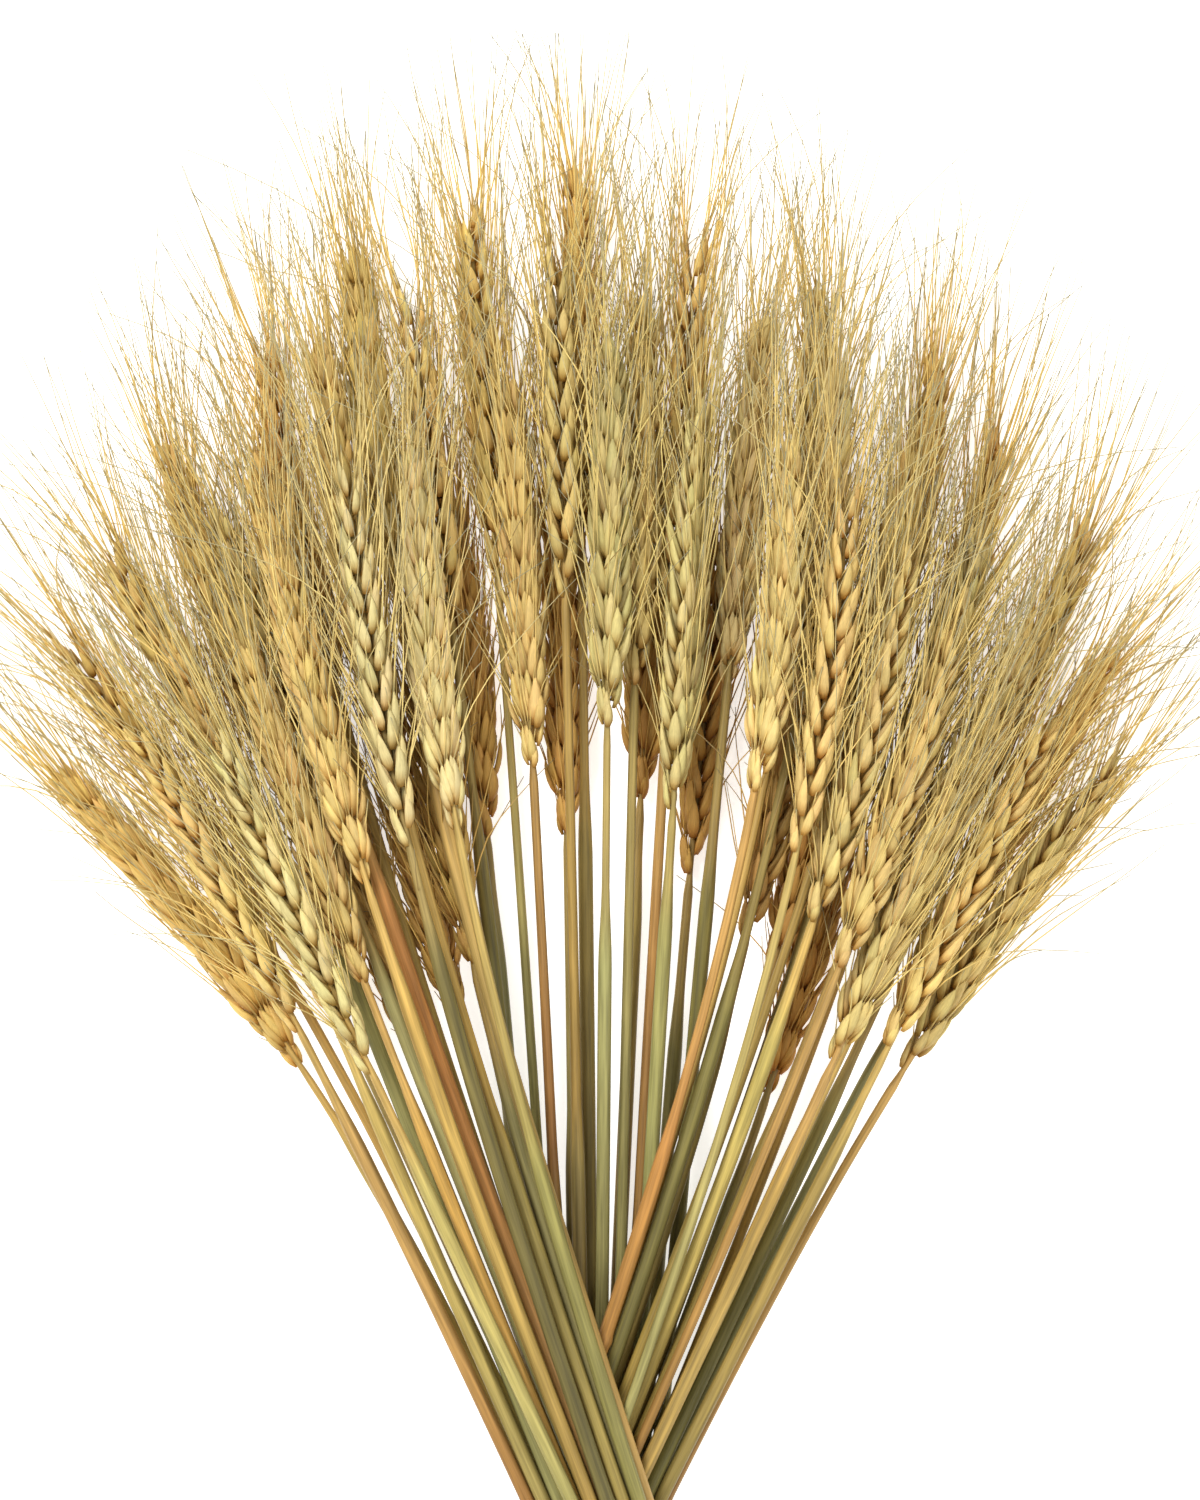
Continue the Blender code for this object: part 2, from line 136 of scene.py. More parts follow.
def set_plan_line(stalk):
    """The stalk's line seen from above, as x at each level, and where along it the ear begins and ends."""
    x, y = stalk["tip"]
    straight = (x - stalk["neck"]) / y
    pull, group_lean = GROUP_PULL[stalk["group"]], GROUP_LEAN[stalk["group"]]
    if stalk["group"] and abs(straight) > abs(group_lean):
        pull = OUTER_PULL
    slope = pull * group_lean + (1 - pull) * straight
    bow = (x - stalk["neck"] - slope * y) / y**3
    above = slope + 3 * bow * np.maximum(LEVELS, 0) ** 2
    below = BELOW_KEEP * group_lean + BELOW_SPREAD * slope
    lean = below + (above - below) * smooth_step(LEVELS, -NECK_BEND, NECK_BEND)
    run = np.cumsum(lean) * LEVEL_STEP
    stalk["x"] = stalk["neck"] + run - np.interp(0, LEVELS, run)
    stalk["slant"] = np.sqrt(1 + lean**2)
    along = np.cumsum(stalk["slant"]) * LEVEL_STEP
    stalk["along"] = along - np.interp(y, LEVELS, along)
    stalk["start"] = float(np.interp(stalk["cut"], LEVELS, stalk["along"]))


def ear_shape(share):
    """How full the ear is at a share of its length: narrow at its foot and towards its tip."""
    foot = EAR_SHOULDER_SHARE + (1 - EAR_SHOULDER_SHARE) * smooth_step(share, 0, EAR_SHOULDER)
    tip = 1 - (1 - EAR_TIP_SHARE) * smooth_step(share, 1 - EAR_TAPER, 1)
    return foot * tip


def set_room(stalk):
    """How far the stalk reaches sideways and up at each level, with its ear's roll, and where it is."""
    s = stalk["along"]
    share = 1 + s / stalk["ear"]
    full = np.where(share > -EAR_STEP / 2, ear_shape(share + EAR_STEP), 0)
    cos, sin = math.cos(stalk["roll"]), math.sin(stalk["roll"])
    stalk["side"] = np.maximum(STEM_RADIUS, math.hypot(EAR_RANK * sin, EAR_ACROSS * cos) * full)
    stalk["tall"] = np.maximum(STEM_RADIUS, math.hypot(EAR_RANK * cos, EAR_ACROSS * sin) * full)
    stalk["present"] = (s > stalk["start"] - LAY_GAP) & (s < LAY_GAP)


def rests_of(height, levels):
    """Those of the levels that a taut straw laid over these heights rests on."""
    rests = []
    for k in levels:
        while len(rests) > 1:
            before, last = rests[-2:]
            line = height[before] + (height[k] - height[before]) * (last - before) / (k - before)
            if height[last] > line:
                break
            rests.pop()
        rests.append(k)
    return rests


def settled(height, present):
    """A height that clears the given one: a straw straight between its rests, which bends only gently."""
    height = height.copy()
    here = np.flatnonzero(present)
    middle = int(np.abs(LEVELS).argmin())
    for outward in (range(middle + 1, here[-1] + 1), range(middle - 1, here[0] - 1, -1)):
        for k in outward:
            inward = k - 1 if k > middle else k + 1
            height[k] = max(height[k], height[inward] - DROOP * LEVEL_STEP)
        levels = sorted(k for k in outward if abs(k - middle) > STIFF_LEVELS)
        rests = rests_of(height, levels)
        height[levels] = np.interp(levels, rests, height[rests])
    height[:here[0]] = height[here[0]]
    height[here[-1]:] = height[here[-1]]
    padded = np.pad(height, STIFF_LEVELS, mode="edge")
    highest = np.lib.stride_tricks.sliding_window_view(padded, 2 * STIFF_LEVELS + 1).max(axis=1)
    padded = np.pad(highest, STIFF_LEVELS, mode="edge")
    return np.lib.stride_tricks.sliding_window_view(padded, 2 * STIFF_LEVELS + 1).mean(axis=1)


def lay_down(stalks):
    """Lays the stalks one after another, each on the table or on those that it crosses."""
    neck_lift = NECK_LIFT * np.exp(-((LEVELS / NECK_LIFT_REACH) ** 4))
    for index, stalk in enumerate(stalks):
        set_plan_line(stalk)
        set_room(stalk)
        loft = ROW_LOFT[stalk["row"]] * smooth_step(LEVELS, LOFT_START_Y, LOFT_FULL_Y)
        height = stalk["tall"] + neck_lift + loft
        for under in stalks[:index]:
            wide = stalk["side"] * stalk["slant"] + under["side"] * under["slant"] + LAY_GAP
            apart = np.clip(np.abs(stalk["x"] - under["x"]) / wide, 0, 1)
            top = under["z"] + (stalk["tall"] + under["tall"] + LAY_GAP) * np.sqrt(1 - apart**2)
            crossing = (apart < 1) & stalk["present"] & under["present"]
            height = np.maximum(height, np.where(crossing, top, 0))
        stalk["z"] = settled(height, stalk["present"])
    return stalks


stalks = lay_down(plan_stalks())

# The straws. Each is a dry hollow stem, ribbed by fibres along it and thinner towards its ear. Low down a
# leaf sheath still wraps most of them, flattened by its neighbours, up to where the leaf was stripped off.
# They dried at different speeds, from olive and sage green to amber.
FLOOR_GAP = 0.0002
GRAIN_SHIFT = 0.013
STRAW_SIDES = 10
STRAW_RING_GAP = 0.0055
STRAW_NECK_RADIUS = 0.00120
STRAW_SIZES = (0.84, 1.12)
RACHIS_RADIUS = 0.0008
STRAW_THINS_OVER = 0.17
HOLLOW_RADIUS, HOLLOW_DEPTH = 0.0009, 0.006
# Painted shade: the inside of the hollow cut end is painted darker.
HOLLOW_TAPER, HOLLOW_PAINTED_SHADE = 0.9, 0.35
JOINT_SWELL, JOINT_LENGTH = 0.22, 0.0022
JOINT_SHARE, JOINT_OFF_CUT = 0.40, (0.02, 0.13)
JOINT_TINT = (0.55, 0.45, 0.35)
SHEATH_SHARE = 0.72
SHEATH_TOP_Y = (0.060, 0.240)
SHEATH_WIDTH, SHEATH_DEPTH = 0.00198, 0.00172
SHEATH_EDGE, SHEATH_CLEAR = 0.024, 0.036
SHEATH_LOOSER, SHEATH_LOOSE_OVER = 0.03, (0.10, 0.22)
SHEATH_SEAM = 0.62
DRIFT_SHARE, DRIFT_LENGTH = 0.30, (0.12, 0.30)
OLIVE, SAGE, KHAKI = (0.245, 0.212, 0.060), (0.370, 0.335, 0.122), (0.400, 0.305, 0.088)
TAN, AMBER = (0.500, 0.325, 0.076), (0.395, 0.178, 0.046)
SHEATH_TONES = ((0.22, OLIVE), (0.44, SAGE), (0.70, KHAKI), (0.87, TAN), (1.01, AMBER))
STEM_TONES = ((0.12, OLIVE), (0.28, SAGE), (0.50, KHAKI), (0.77, TAN), (1.01, AMBER))
STRAW_TOP = (0.545, 0.362, 0.112)
TOP_TINT_OVER, TOP_TINT_SHARE = (-0.16, 0.01), 0.7
STRAW_SHADES, STRAW_CAST = (0.72, 1.18), (0.95, 1.05)
# Painted shade on the straws: darker for the lowest row, and darkest for the group that lies lowest in the
# pile, under the others.
STRAW_ROW_PAINTED_SHADE = (0.78, 1.0, 1.0, 1.0)
GROUP_PAINTED_SHADE = (0.76, 0.90, 0.88)


def unit(vectors):
    return vectors / np.linalg.norm(vectors, axis=-1, keepdims=True)


def run_of(stalk, s):
    """Places on the stalk's middle line at these lengths, with the ways along, out to a rank, and across."""
    def place(s):
        y = np.interp(s, stalk["along"], LEVELS)
        return np.stack([np.interp(y, LEVELS, stalk["x"]), y, np.interp(y, LEVELS, stalk["z"])], axis=-1)

    s = np.asarray(s, float)
    along = unit(place(s + 2 * LEVEL_STEP) - place(s - 2 * LEVEL_STEP))
    side = unit(np.cross(along, (0, 0, 1)))
    up = np.cross(side, along)
    rank = math.cos(stalk["roll"]) * up + math.sin(stalk["roll"]) * side
    return place(s), along, rank, np.cross(along, rank)


class Growth:
    """The points and faces of one piece, with a tint and a grain coordinate at each point."""

    def __init__(self):
        self.points, self.tints, self.grains, self.faces, self.kinds = [], [], [], [], []
        self.count = 0

    def sweep(self, centres, wide, deep, sides, lengths, tints, kind, profile=1.0):
        """Closed bodies swept through rings. centres, wide and deep are (bodies, rings, 3)."""
        bodies, rings = centres.shape[:2]
        turn = np.arange(sides) * 2 * math.pi / sides
        profile = np.reshape(profile, np.shape(profile) + (1,))
        cos, sin = (wave(turn)[:, None] * profile for wave in (np.cos, np.sin))
        points = centres[:, :, None] + wide[:, :, None] * cos + deep[:, :, None] * sin
        points[..., 2] = np.maximum(points[..., 2], FLOOR_GAP)
        size = np.linalg.norm(wide, axis=-1)
        grain = np.empty(points.shape)
        grain[..., 0] = size[:, :, None] * np.cos(turn) + np.arange(bodies)[:, None, None] * GRAIN_SHIFT
        grain[..., 1] = size[:, :, None] * np.sin(turn)
        grain[..., 2] = np.broadcast_to(np.asarray(lengths)[..., None], points.shape[:-1])
        if np.ndim(tints) == 3:
            tints = tints[:, :, None]
        self.points.append(points.reshape(-1, 3))
        self.grains.append(grain.reshape(-1, 3))
        self.tints.append(np.broadcast_to(tints, points.shape).reshape(-1, 3))
        index = self.count + np.arange(bodies * rings * sides).reshape(bodies, rings, sides)
        after = np.roll(index, -1, axis=2)
        walls = np.stack([index[:, :-1], after[:, :-1], after[:, 1:], index[:, 1:]], axis=-1)
        self.faces += walls.reshape(-1, 4).tolist()
        self.faces += index[:, 0, ::-1].tolist() + index[:, -1].tolist()
        self.kinds += [kind] * (bodies * ((rings - 1) * sides + 2))
        self.count += points.size // 3

    def made(self, name, materials):
        """The piece as a smooth object with its materials."""
        mesh = bpy.data.meshes.new(name)
        mesh.from_pydata(np.concatenate(self.points).tolist(), [], self.faces)
        tint = mesh.color_attributes.new("tint", "FLOAT_COLOR", "POINT")
        rgba = np.concatenate([np.concatenate(self.tints), np.ones((self.count, 1))], axis=1)
        tint.data.foreach_set("color", rgba.ravel().astype(np.float32))
        grain = mesh.attributes.new("grain", "FLOAT_VECTOR", "POINT")
        grain.data.foreach_set("vector", np.concatenate(self.grains).ravel().astype(np.float32))
        for material in materials:
            mesh.materials.append(material)
        mesh.polygons.foreach_set("material_index", self.kinds)
        mesh.shade_smooth()
        piece = bpy.data.objects.new(name, mesh)
        bpy.context.scene.collection.objects.link(piece)
        return piece


def one_of(tones, share):
    """The colour that a share from 0 to 1 falls on in a list of upper limits and colours."""
    return np.array([colour for limit, colour in tones if share < limit][0])


def grow_straw(growth, stalk, draw):
    """The stem from its hollow cut end up to the ear, and on inside the ear as the rachis."""
    start, ear = stalk["start"], stalk["ear"]
    sheath_end = min(np.interp(draw.uniform(*SHEATH_TOP_Y), LEVELS, stalk["along"]), -ear - SHEATH_CLEAR)
    if draw.random() > SHEATH_SHARE:
        sheath_end = start - 0.01
    rings = np.arange(start, 0, STRAW_RING_GAP)
    joint = start + draw.uniform(*JOINT_OFF_CUT) if draw.random() < JOINT_SHARE else start - 0.1
    marks = joint + JOINT_LENGTH * np.linspace(-1, 1, 6)
    rings = np.sort(np.concatenate([rings, marks[marks > start]]))
    thin = smooth_step(rings, -ear - STRAW_THINS_OVER, -ear)
    size = draw.uniform(*STRAW_SIZES)
    radius = size * (STEM_RADIUS * (1 - thin) + STRAW_NECK_RADIUS * thin)
    radius = np.where(rings > -ear, RACHIS_RADIUS * np.clip(-rings / 0.02, 0.2, 1), radius)
    # The straw's random tone, times the painted shade for its row and its group.
    shade = draw.uniform(*STRAW_SHADES) * STRAW_ROW_PAINTED_SHADE[stalk["row"]] * GROUP_PAINTED_SHADE[stalk["group"]]
    tone, cast = draw.random(), draw.uniform(*STRAW_CAST, 3)
    stem = one_of(STEM_TONES, tone) * cast
    low, high = TOP_TINT_OVER
    ripe = smooth_step(rings, -ear + low, -ear + high)[:, None] * TOP_TINT_SHARE
    tints = stem * (1 - ripe) + np.array(STRAW_TOP) * ripe
    drift = 0.5 + 0.5 * np.sin(rings * 2 * math.pi / draw.uniform(*DRIFT_LENGTH) + draw.uniform(0, 6))
    drift = DRIFT_SHARE * drift[:, None]
    tints = tints * (1 - drift) + one_of(STEM_TONES, draw.random()) * drift
    swell = np.exp(-(((rings - joint) / JOINT_LENGTH) ** 2) * 2)
    tints = tints * (1 - swell[:, None] * (1 - np.array(JOINT_TINT)))
    bare = smooth_step(rings, sheath_end, sheath_end + SHEATH_EDGE)
    sheath = one_of(SHEATH_TONES, tone) * cast * (1 - drift) + one_of(SHEATH_TONES, draw.random()) * drift
    tints = tints * bare[:, None] + sheath * (1 - bare[:, None])
    snug = math.sqrt(min(size, 1.0)) + SHEATH_LOOSER * smooth_step(rings - start, *SHEATH_LOOSE_OVER)
    wide = (SHEATH_WIDTH * snug * (1 - bare) + radius * bare) * (1 + JOINT_SWELL * swell)
    deep = (SHEATH_DEPTH * snug * (1 - bare) + radius * bare) * (1 + JOINT_SWELL * swell)
    rings = np.concatenate([[start + HOLLOW_DEPTH, start + 0.0001], rings])
    hollow = [HOLLOW_RADIUS * HOLLOW_TAPER, HOLLOW_RADIUS]
    wide, deep = (np.concatenate([hollow, reach]) for reach in (wide, deep))
    # Painted shade inside the hollow, then the whole straw times its tone and painted row and group shade.
    tints = np.concatenate([tints[:1] * HOLLOW_PAINTED_SHADE, tints[:1], tints]) * shade
    seam = np.where(np.arange(STRAW_SIDES) == draw.integers(STRAW_SIDES), SHEATH_SEAM, 1.0)[:, None]
    wrapped = np.concatenate([[0, 0], 1 - bare])[:, None, None]
    tints = tints[:, None] * (1 - wrapped * (1 - seam))
    place, along, rank, across = run_of(stalk, rings)
    side = unit(np.cross(along, (0, 0, 1)))
    growth.sweep(place[None], (side * wide[:, None])[None], (np.cross(side, along) * deep[:, None])[None],
                 STRAW_SIDES, rings[None], tints[None], 0)


NOISE_LOW, NOISE_HIGH = 0.25, 0.75
PATCH_SCALE, PATCH_SHARE = 0.22, 0.7
ROUGH_SPREAD = (-0.08, 0.10)
RIDGE_HEIGHT = 0.0002


def grained(name, across, stretch, streak, rough, bump, shine):
    """A dry plant surface: the tint painted on the mesh, streaked and ridged along its grain."""
    material = bpy.data.materials.new(name)
    material.use_nodes = True
    tree = material.node_tree
    shader = tree.nodes["Principled BSDF"]

    def node(kind, **values):
        made = tree.nodes.new(kind)
        for key, value in values.items():
            setattr(made, key, value)
        return made

    def link(out, socket):
        tree.links.new(out, socket)

    tint = node("ShaderNodeAttribute", attribute_name="tint")
    grain = node("ShaderNodeAttribute", attribute_name="grain")
    stretched = node("ShaderNodeMapping")
    stretched.inputs["Scale"].default_value = (across, across, across / stretch)
    link(grain.outputs["Vector"], stretched.inputs["Vector"])
    fibres = node("ShaderNodeTexNoise")
    fibres.inputs["Scale"].default_value = 1.0
    fibres.inputs["Detail"].default_value = 2.0
    link(stretched.outputs["Vector"], fibres.inputs["Vector"])
    patches = node("ShaderNodeTexNoise")
    patches.inputs["Scale"].default_value = PATCH_SCALE
    patches.inputs["Detail"].default_value = 1.0
    link(stretched.outputs["Vector"], patches.inputs["Vector"])

    def ranged(source, low, high):
        made = node("ShaderNodeMapRange")
        made.inputs["From Min"].default_value = NOISE_LOW
        made.inputs["From Max"].default_value = NOISE_HIGH
        made.inputs["To Min"].default_value = low
        made.inputs["To Max"].default_value = high
        link(source, made.inputs["Value"])
        return made.outputs["Result"]

    light = node("ShaderNodeMath", operation="MULTIPLY")
    link(ranged(fibres.outputs["Fac"], 1 - streak, 1 + streak), light.inputs[0])
    patched = streak * PATCH_SHARE
    link(ranged(patches.outputs["Fac"], 1 - patched, 1 + patched), light.inputs[1])
    shade = node("ShaderNodeVectorMath", operation="SCALE")
    link(tint.outputs["Color"], shade.inputs[0])
    link(light.outputs["Value"], shade.inputs["Scale"])
    link(shade.outputs["Vector"], shader.inputs["Base Color"])
    smoothest, roughest = (rough + spread for spread in ROUGH_SPREAD)
    link(ranged(fibres.outputs["Fac"], smoothest, roughest), shader.inputs["Roughness"])
    if bump:
        ridges = node("ShaderNodeBump")
        ridges.inputs["Strength"].default_value = bump
        ridges.inputs["Distance"].default_value = RIDGE_HEIGHT
        link(fibres.outputs["Fac"], ridges.inputs["Height"])
        link(ridges.outputs["Normal"], shader.inputs["Normal"])
    shader.inputs["Specular IOR Level"].default_value = shine
    return material


straw_finish = grained("dry_straw", across=1400, stretch=26, streak=0.32, rough=0.52, bump=0.6, shine=0.28)

# The ears. Eighteen or so spikelets sit alternately on two sides of the rachis. Each is a fan of two short
# outer scales (glumes) and five pointed husks (lemmas) over the grain, overlapping like shingles with their
# points standing off.
SPIKELET_GAP = 0.0053
HUSK_SIDES, HUSK_RINGS = 7, 6
HUSK_BASE_OUT = 0.0008
HUSKS = (
    # side, foot across, splay, foot along, length, half width, depth, tilt out, azimuth, length of its awn
    (-1, 0.0026, 17.0, -0.0008, 0.0106, 0.00170, 0.00085, 9.0, 66.0, 0.16),
    (1, 0.0026, 17.0, -0.0004, 0.0106, 0.00170, 0.00085, 9.0, 66.0, 0.16),
    (-1, 0.0015, 12.0, 0.0008, 0.0140, 0.00185, 0.00115, 13.5, 42.0, 1.0),
    (1, 0.0015, 12.0, 0.0014, 0.0140, 0.00185, 0.00115, 13.5, 42.0, 1.0),
    (-0.15, 0.0010, 8.0, 0.0024, 0.0132, 0.00185, 0.00112, 16.5, 8.0, 1.0),
    (-0.6, 0.0014, 11.0, 0.0050, 0.0104, 0.00140, 0.00090, 14.5, 30.0, 0.9),
    (0.6, 0.0014, 11.0, 0.0056, 0.0100, 0.00140, 0.00090, 14.5, 30.0, 0.9),
)
HUSK_PLACE_SPREAD, HUSK_SIZES = 0.0005, (0.93, 1.07)
HUSK_LEAST_SIZE = 0.30
HUSK_AZIMUTH_SPREAD, HUSK_SPLAY_SPREAD, HUSK_TILT_SPREAD = 5.0, 3.5, 3.0
HUSK_LENGTH_SPREAD, HUSK_HALF_SPREAD, HUSK_DEPTH_SPREAD = 0.0007, 0.00014, 0.0001
HUSK_BOW = 0.0006
HUSK_TIP_SHARE = 0.10
HUSK_FOOT_OPEN, HUSK_OPEN_BY = 0.45, 0.16
HUSK_KEEL = (1.0, 0.94, 1.12, 1.12, 0.94, 1.0, 1.0)
HUSK_PALE, HUSK_GOLD, HUSK_AMBER = (0.665, 0.545, 0.252), (0.682, 0.522, 0.200), (0.662, 0.478, 0.172)
HUSK_GREEN = (0.560, 0.485, 0.200)
GREEN_SHARE, GREEN_MIX = 0.30, (0.3, 0.9)
# The husks darken towards their feet: partly their browner foot, partly painted shade where they overlap.
HUSK_FOOT_BROWN_AND_SHADE, HUSK_FOOT_SHARE = (0.66, 0.44, 0.20), 0.45
EAR_SHADES, HUSK_SHADE, HUSK_CAST = (0.92, 1.08), 0.12, 0.04
# Painted shade: the ears of the lower rows, which lie under the others, are painted darker and browner.
EAR_ROW_PAINTED_SHADE = ((0.74, 0.55, 0.36), (0.96, 0.86, 0.70), (1.0, 0.95, 0.87), (1.0, 1.0, 1.0))


def husk_profile(v):
    """How wide a husk is along it: a rounded foot, full at a third, drawn out to a point."""
    full = (v + 0.05) ** 0.45 * (1 - v) ** 0.80
    return full / full.max() * (1 - HUSK_TIP_SHARE) + HUSK_TIP_SHARE * v**0.5


def grow_husks(growth, stalk, draw):
    """All husks of one ear. Returns where they end, their way on and out, their place in the ear, their
    tint, and how long an awn each one has."""
    ear = stalk["ear"]
    spikelets = int(ear / SPIKELET_GAP)
    feet = -ear + SPIKELET_GAP * (np.arange(spikelets) + 0.3)
    side, foot_across, splay, foot_along, length, half, depth, tilt, azimuth, awn = (
        np.array(column, float) for column in zip(*HUSKS))
    kinds = len(HUSKS)
    share = np.repeat((feet + ear) / ear, kinds)
    size = HUSK_LEAST_SIZE + (1 - HUSK_LEAST_SIZE) * ear_shape(np.minimum(share + 0.02, 1))
    size = size * draw.uniform(*HUSK_SIZES, share.size)
    opened = HUSK_FOOT_OPEN + (1 - HUSK_FOOT_OPEN) * smooth_step(share, 0.0, HUSK_OPEN_BY)
    flip = np.repeat(np.where(np.arange(spikelets) % 2, 1.0, -1.0), kinds)

    def each(column, spread=0.0):
        return np.tile(column, spikelets) + spread * draw.uniform(-1, 1, share.size)

    s = np.repeat(feet, kinds) + each(foot_along, HUSK_PLACE_SPREAD) * size
    place, along, rank, across = run_of(stalk, s)
    rank = rank * flip[:, None]
    out_turn = np.radians(each(azimuth, HUSK_AZIMUTH_SPREAD)) * each(side)
    splay = each(splay, HUSK_SPLAY_SPREAD) * each(side) + draw.uniform(-3, 3, share.size)
    splay = np.tan(np.radians(splay)) * opened
    tilt = np.tan(np.radians(each(tilt, HUSK_TILT_SPREAD) * (0.55 + 0.45 * size)))
    heading = unit(along + tilt[:, None] * rank + splay[:, None] * across)
    out = np.cos(out_turn)[:, None] * rank + np.sin(out_turn)[:, None] * across
    out = unit(out - (out * heading).sum(axis=1, keepdims=True) * heading)
    foot = place + rank * HUSK_BASE_OUT + across * (each(foot_across) * each(side) * size * opened)[:, None]
    v = np.linspace(0, 1, HUSK_RINGS) ** 0.9
    reach = (each(length, HUSK_LENGTH_SPREAD) * size)[:, None, None]
    bow = (HUSK_BOW * size)[:, None, None] * (4 * v * (1 - v) - 0.5 * v**3)[None, :, None]
    centres = foot[:, None] + heading[:, None] * reach * v[None, :, None] + out[:, None] * bow
    full = husk_profile(v)[None, :, None] * size[:, None, None]
    wide = np.cross(out, heading)[:, None] * (each(half, HUSK_HALF_SPREAD)[:, None, None] * full)
    deep = out[:, None] * (each(depth, HUSK_DEPTH_SPREAD)[:, None, None] * full)
    base = np.array((HUSK_PALE, HUSK_GOLD, HUSK_AMBER)[int(stalk["tone"] * 3)])
    green = draw.uniform(*GREEN_MIX) * (draw.random() < GREEN_SHARE)
    # Painted shade for the ear's row.
    base = (base * (1 - green) + np.array(HUSK_GREEN) * green) * np.array(EAR_ROW_PAINTED_SHADE[stalk["row"]])
    base = base * draw.uniform(*EAR_SHADES)
    own = base * (1 + draw.uniform(-HUSK_SHADE, HUSK_SHADE, (share.size, 1)))
    own = own * (1 + draw.uniform(-HUSK_CAST, HUSK_CAST, (share.size, 3)))
    # Darker towards the husk's foot: browner foot and painted shade between the overlapping husks.
    towards_foot = (1 - smooth_step(v, 0.0, HUSK_FOOT_SHARE))[None, :, None]
    tints = own[:, None] * (1 - towards_foot * (1 - np.array(HUSK_FOOT_BROWN_AND_SHADE)))
    growth.sweep(centres, wide, deep, HUSK_SIDES, (v * 0.012)[None].repeat(share.size, 0), tints, 1,
                 np.array(HUSK_KEEL))
    return centres[:, -1], heading, out, share, own, each(awn)


husk_finish = grained("dry_husk", across=2600, stretch=9, streak=0.14, rough=0.60, bump=0.7, shine=0.22)

# The awns. Every lemma runs out into a stiff bristle as long as half the ear, and every glume into a short
# beak. Together they fan out round the ear like a beard, with some bent out of line where they were brushed.
AWN_SIDES, AWN_RINGS, BEAK_RINGS = 3, 8, 4
AWN_LENGTH, AWN_LENGTH_SPREAD = 0.056, 0.013
AWN_AT_FOOT, AWN_AT_TIP = 0.75, 0.86
AWN_FOOT_RADIUS, AWN_TIP_RADIUS = 0.00027, 0.00011
AWN_OPENING_LOW, AWN_OPENING_HIGH = 18.0, 9.0
AWN_SIDEWAYS = 6.5
AWN_BRUSHED = 3.5
AWN_OPENINGS, AWN_SHADES = (0.35, 1.5), (0.85, 1.15)
AWN_WAVE, AWN_ROOT = 0.03, 0.0006
AWN_BEND, WILD_BEND = 0.15, 0.60
WILD_SHARE = 0.15
AWN_GOLD, AWN_ROW_POWER, AWN_GOLD_POWER = (0.975, 0.722, 0.218), 0.6, 0.4
AWN_TIP_TINT, AWN_TIP_POWER = (0.30, 0.40, 0.92), 1.6


